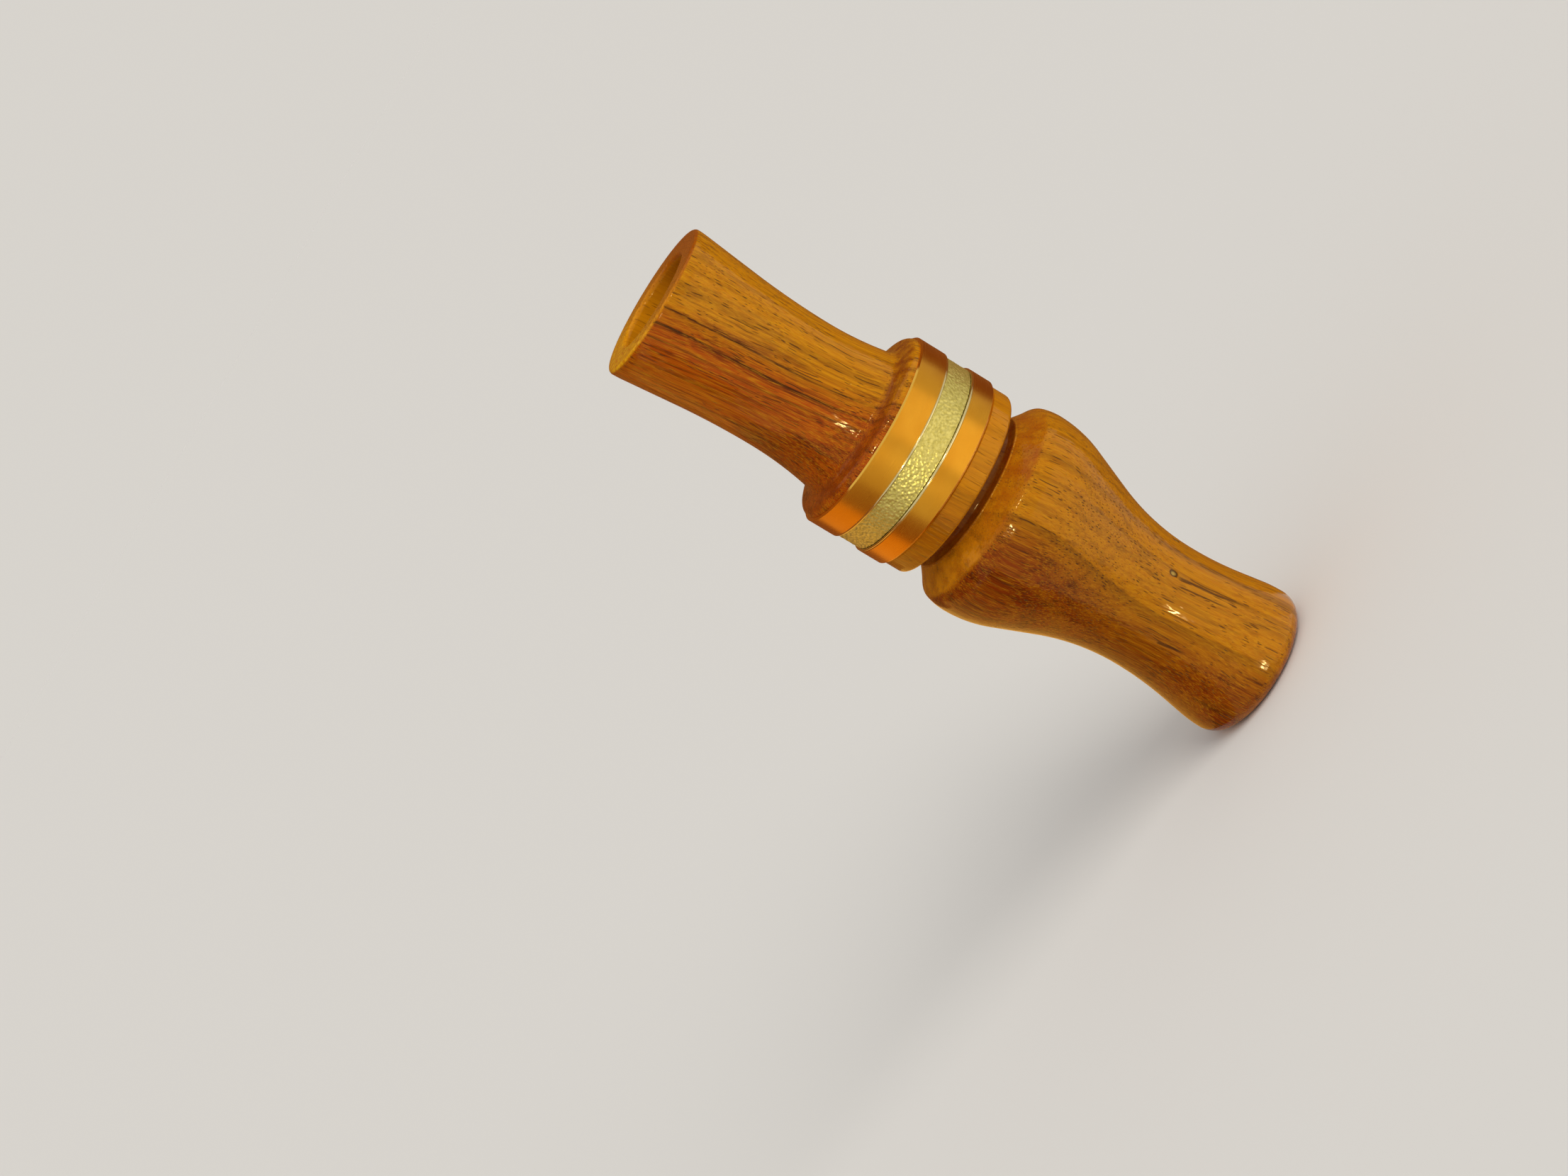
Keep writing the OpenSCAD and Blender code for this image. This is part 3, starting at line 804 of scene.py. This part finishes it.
def satin_gold():
    """Satin gold with fine turning lines round the ring, and bare bright metal along the channel."""
    material, tree, shader, place = new_material("satin_gold_bright_bevels")
    split = tree.nodes.new("ShaderNodeSeparateXYZ")
    feed(tree, split.inputs[0], place)
    middle = band_top - (channel_near + channel_far) / 2
    from_middle = calc(tree, "ABSOLUTE", calc(tree, "SUBTRACT", split.outputs["Z"], middle))
    cut = strip_w / 2 + strip_bevel
    bright = fade(tree, from_middle, cut + 0.04 * mm, cut - 0.02 * mm)
    from_edge = calc(tree, "ABSOLUTE", calc(tree, "SUBTRACT", split.outputs["Z"], band_top - band_w / 2))
    # The outer bevels are polished, with less roughness, and painted brighter gold as a painted highlight
    bevel_polish_and_painted_highlight = fade(tree, from_edge, band_w / 2 - band_bevel - 0.05 * mm, band_w / 2 - band_bevel + 0.05 * mm)
    turning = cloud(tree, place, (120, 120, 26000), 3, 0.6)
    smudge = cloud(tree, place, (150, 150, 150), 2, 0.5)
    gold = tint(tree, fade(tree, smudge, 0.3, 0.7), paint(220, 155, 44), paint(210, 142, 36))
    gold = tint(tree, bevel_polish_and_painted_highlight, gold, paint(248, 196, 84))
    feed(tree, shader.inputs["Base Color"], tint(tree, bright, gold, paint(232, 216, 160)))
    satin = calc(tree, "MULTIPLY_ADD", turning, 0.08, 0.22)
    polish = calc(tree, "MULTIPLY_ADD", calc(tree, "MAXIMUM", bright, bevel_polish_and_painted_highlight), -0.15, satin)
    feed(tree, shader.inputs["Roughness"], polish)
    shader.inputs["Metallic"].default_value = 1
    bump(tree, shader, turning, 0.003 * mm)
    return material


dress(band, satin_gold(), "call_band")
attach(band, "barrel")

# Band inlay: a silver strip let into the channel, its face stippled all over with a fine punch.
# It sits a little below the gold and is glued in.
glue_gap = 0.03 * mm
strip_sink = 0.3 * mm
strip_face = band_r - strip_sink
strip_near = channel_near + glue_gap
strip_far = channel_far - glue_gap
strip_back = channel_r + glue_gap
stipple_pitch = 0.42 * mm
stipple_depth = 0.14 * mm
face_rows = 40
strip_steps = 960

row_step = (strip_far - strip_near) / face_rows
strip = turn_on_lathe("stippled_strip", (
    [(strip_near, strip_back)]
    + [(strip_near + i * row_step, strip_face) for i in range(face_rows + 1)]
    + [(strip_far, strip_back)]
), band_top, strip_steps)
face_points = strip.vertex_groups.new(name="face")
face_points.add([v.index for v in strip.data.vertices
                 if math.hypot(v.co.x, v.co.y) > strip_face - mm / 100], 1.0, "REPLACE")
punch = bpy.data.textures.new("punch_marks", "VORONOI")
punch.noise_scale = stipple_pitch
punch.distance_metric = "DISTANCE"
stipple = strip.modifiers.new("stipple", "DISPLACE")
stipple.texture = punch
stipple.texture_coords = "LOCAL"
stipple.vertex_group = "face"
stipple.strength = stipple_depth
stipple.mid_level = 1.0
bpy.context.view_layer.objects.active = strip
bpy.ops.object.modifier_apply(modifier="stipple")


def stippled_silver():
    """Pale silver, duller in random tarnished patches."""
    material, tree, shader, place = new_material("stippled_silver")
    tarnish = cloud(tree, place, (2200, 2200, 2200), 3, 0.6)
    silver = tint(tree, fade(tree, tarnish, 0.35, 0.7), paint(216, 200, 112), paint(190, 173, 82))
    feed(tree, shader.inputs["Base Color"], silver)
    feed(tree, shader.inputs["Roughness"], calc(tree, "MULTIPLY_ADD", tarnish, 0.16, 0.28))
    shader.inputs["Metallic"].default_value = 0.7
    bump(tree, shader, cloud(tree, place, (6000, 6000, 6000), 2), 0.01 * mm)
    return material


dress(strip, stippled_silver(), "band_inlay")
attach(strip, "barrel")

# Floor, light and camera: a plain pale floor in an even pale surround, lit by one soft key.
# Four small lamps and a ring of cards only show in the lacquer and the metal.
# The camera stands where the photograph was taken from, rolled so that the call leans across the frame.
bpy.ops.object.select_all(action="DESELECT")
bpy.ops.mesh.primitive_plane_add(size=8)
floor = bpy.context.object
floor.name = "pale_floor"
floor.visible_shadow = False
floor_material = bpy.data.materials.new("pale_floor")
floor_material.use_nodes = True
floor_tree = floor_material.node_tree
floor_tree.nodes.remove(floor_tree.nodes["Principled BSDF"])
floor_shader = floor_tree.nodes.new("ShaderNodeBsdfDiffuse")
floor_shader.inputs["Color"].default_value = (0.82, 0.81, 0.79, 1)
floor_tree.links.new(floor_shader.outputs[0], floor_tree.nodes["Material Output"].inputs["Surface"])
floor.data.materials.append(floor_material)

surround_light = 0.55
surround_colour = Vector((1, 0.98, 0.95))
key_colour = Vector((1, 0.95, 0.88))
world = bpy.data.worlds.new("studio")
bpy.context.scene.world = world
world.use_nodes = True
world.cycles.sampling_method = "NONE"
sky = world.node_tree
ambient = sky.nodes["Background"]
ambient.inputs["Color"].default_value = (*surround_colour, 1)
ambient.inputs["Strength"].default_value = surround_light
seen = sky.nodes.new("ShaderNodeBackground")
key_height = 35
key_strength = 1.55
floor_light = (surround_colour * surround_light
               + key_colour * key_strength * math.sin(math.radians(key_height)) / math.pi)
floor_colour = Vector(floor_shader.inputs["Color"].default_value[:3])
seen.inputs["Color"].default_value = (*(floor_light * floor_colour), 1)
ray = sky.nodes.new("ShaderNodeLightPath")
looked_at = calc(sky, "MAXIMUM", ray.outputs["Is Camera Ray"], ray.outputs["Is Glossy Ray"])
looked_at = calc(sky, "MAXIMUM", looked_at, ray.outputs["Is Transmission Ray"])
either = sky.nodes.new("ShaderNodeMixShader")
sky.links.new(looked_at, either.inputs[0])
sky.links.new(ambient.outputs[0], either.inputs[1])
sky.links.new(seen.outputs[0], either.inputs[2])
sky.links.new(either.outputs[0], sky.nodes["World Output"].inputs["Surface"])


def direction(azimuth, elevation):
    """A unit vector: azimuth in degrees from the camera's side towards +X, elevation above the floor."""
    a = math.radians(azimuth)
    e = math.radians(elevation)
    return Vector((math.sin(a) * math.cos(e), -math.cos(a) * math.cos(e), math.sin(e)))


def sun(name, azimuth, elevation, strength, spread, colour):
    """A lamp far off in a direction, as wide as its spread in degrees."""
    lamp = bpy.data.lights.new(name, "SUN")
    lamp.energy = strength
    lamp.angle = math.radians(spread)
    lamp.color = colour
    holder = bpy.data.objects.new(name, lamp)
    bpy.context.scene.collection.objects.link(holder)
    holder.rotation_euler = direction(azimuth, elevation).to_track_quat("Z", "Y").to_euler()
    return holder


soft_key = sun("soft_key", azimuth=38, elevation=key_height, strength=key_strength, spread=40,
               colour=key_colour)
soft_key.visible_glossy = False

# Small lamps that only show as highlights in the lacquer and the metal
# The foot lamp shines up through the floor, which casts no shadow, and lights the flared end only.
glint_colour = Vector((1, 0.9, 0.62))
glint_spread = 2.5
glints = (("glint_right", 19, 40, 0.65),
          ("glint_left_low", -14, 5, 0.4),
          ("glint_left_high", -14, 14, 0.55))
for lamp_name, lamp_azimuth, lamp_elevation, lamp_strength in glints:
    glint = sun(lamp_name, lamp_azimuth, lamp_elevation, lamp_strength, glint_spread, glint_colour)
    glint.visible_diffuse = False
foot_lamp = bpy.data.lights.new("foot_lamp", "SPOT")
foot_lamp.energy = 0.7
foot_lamp.spot_size = math.radians(10)
foot_lamp.spot_blend = 0.2
foot_lamp.shadow_soft_size = 7 * mm
foot_lamp.color = glint_colour
foot_holder = bpy.data.objects.new("foot_lamp", foot_lamp)
bpy.context.scene.collection.objects.link(foot_holder)
foot_holder.visible_diffuse = False
foot_level = Vector((0, 0, 19.5)) * mm
foot_middle = Vector((0, 0, 8)) * mm
foot_lamp_away = 300
foot_holder.location = foot_level + direction(6, -18.5) * foot_lamp_away * mm
foot_holder.rotation_euler = (foot_holder.location - foot_middle).to_track_quat("Z", "Y").to_euler()

# Cards that only reflections see: brown at the back and left, gold between them, and a glow in front.
# They lie round the call as a fan, each with two angles and two radii in mm. Two more stand at the back and
# the left, each with an angle, a distance, a width and a height.
card_colours = {"brown": ((0.3, 0.11, 0.03, 1), 0.0), "gold": ((0.8, 0.42, 0.08, 1), 0.4),
                "glow": ((0.9, 0.86, 0.8, 1), 0.75)}
fan_sectors = (("glow", 8, 66, 14, 354), ("brown", 107, 180, 14, 600), ("gold", 180, 222, 14, 215),
               ("brown", 180, 222, 215, 600), ("gold", 222, 272, 14, 460), ("brown", 222, 272, 460, 600),
               ("brown", 272, 307, 14, 354))
standing_cards = (("back_card", 166, 250, 700, 400), ("left_card", 245, 450, 900, 700))
card_lift = 0.2 * mm
cards = {}
for card_name, (card_colour, card_glow) in card_colours.items():
    cards[card_name] = bpy.data.materials.new(card_name + "_card")
    cards[card_name].use_nodes = True
    card_shader = cards[card_name].node_tree.nodes["Principled BSDF"]
    card_shader.inputs["Base Color"].default_value = card_colour
    card_shader.inputs["Roughness"].default_value = 1
    card_shader.inputs["Specular IOR Level"].default_value = 0
    card_shader.inputs["Emission Color"].default_value = card_colour
    card_shader.inputs["Emission Strength"].default_value = card_glow


def reflections_only(card):
    """Hides a card from all but reflections."""
    card.visible_camera = False
    card.visible_diffuse = False
    card.visible_transmission = False
    card.visible_shadow = False


for card_name, facing, away, wide, tall in standing_cards:
    bpy.ops.object.select_all(action="DESELECT")
    bpy.ops.mesh.primitive_plane_add(size=1, rotation=(math.pi / 2, 0, math.radians(facing)))
    card = bpy.context.object
    card.name = card_name
    card.scale = (wide * mm, tall * mm, 1)
    card.location = direction(facing, 0) * away * mm + Vector((0, 0, (tall / 2 + 1) * mm))
    card.data.materials.append(cards["brown"])
    reflections_only(card)
for sector, (card_name, sector_from, sector_to, inner, outer) in enumerate(fan_sectors):
    bpy.ops.object.select_all(action="DESELECT")
    bpy.ops.mesh.primitive_plane_add(size=mm)
    fan = bpy.context.object
    fan.name = "fan_card_%d" % sector
    bpy.ops.object.mode_set(mode="EDIT")
    bpy.ops.mesh.merge(type="CENTER")
    bpy.ops.transform.translate(value=direction(sector_from, 0) * inner * mm + Vector((0, 0, card_lift)))
    spoke = direction(sector_from, 0) * (outer - inner) * mm
    bpy.ops.mesh.extrude_region_move(TRANSFORM_OT_translate={"value": spoke})
    bpy.ops.mesh.select_all(action="SELECT")
    sweep = math.radians(sector_from - sector_to)
    bpy.ops.mesh.spin(steps=12, angle=sweep, center=(0, 0, 0), axis=(0, 0, 1))
    bpy.ops.object.mode_set(mode="OBJECT")
    fan.data.materials.append(cards[card_name])
    reflections_only(fan)

photo_width = 2212
photo_focal = 4450
tilt = math.radians(12.80)
roll = math.radians(59.39)
mouth_from_lens = Vector((-19.40, 42.19, 462.2)) * mm
forward = Vector((0, math.cos(tilt), -math.sin(tilt)))
upright = Vector((0, math.sin(tilt), math.cos(tilt)))
sideways = Vector((1, 0, 0))
right = math.cos(roll) * sideways - math.sin(roll) * upright
up = math.sin(roll) * sideways + math.cos(roll) * upright
lens = bpy.data.cameras.new("camera")
lens.sensor_width = 36
lens.lens = lens.sensor_width * photo_focal / photo_width
lens.clip_start = 0.01
camera = bpy.data.objects.new("camera", lens)
bpy.context.scene.collection.objects.link(camera)
stand = (Vector((0, 0, mouth_top)) - mouth_from_lens.x * right - mouth_from_lens.y * up
         - mouth_from_lens.z * forward)
camera.matrix_world = Matrix.Translation(stand) @ Matrix((right, up, -forward)).transposed().to_4x4()
bpy.context.scene.camera = camera
bpy.context.scene.view_settings.view_transform = "Standard"
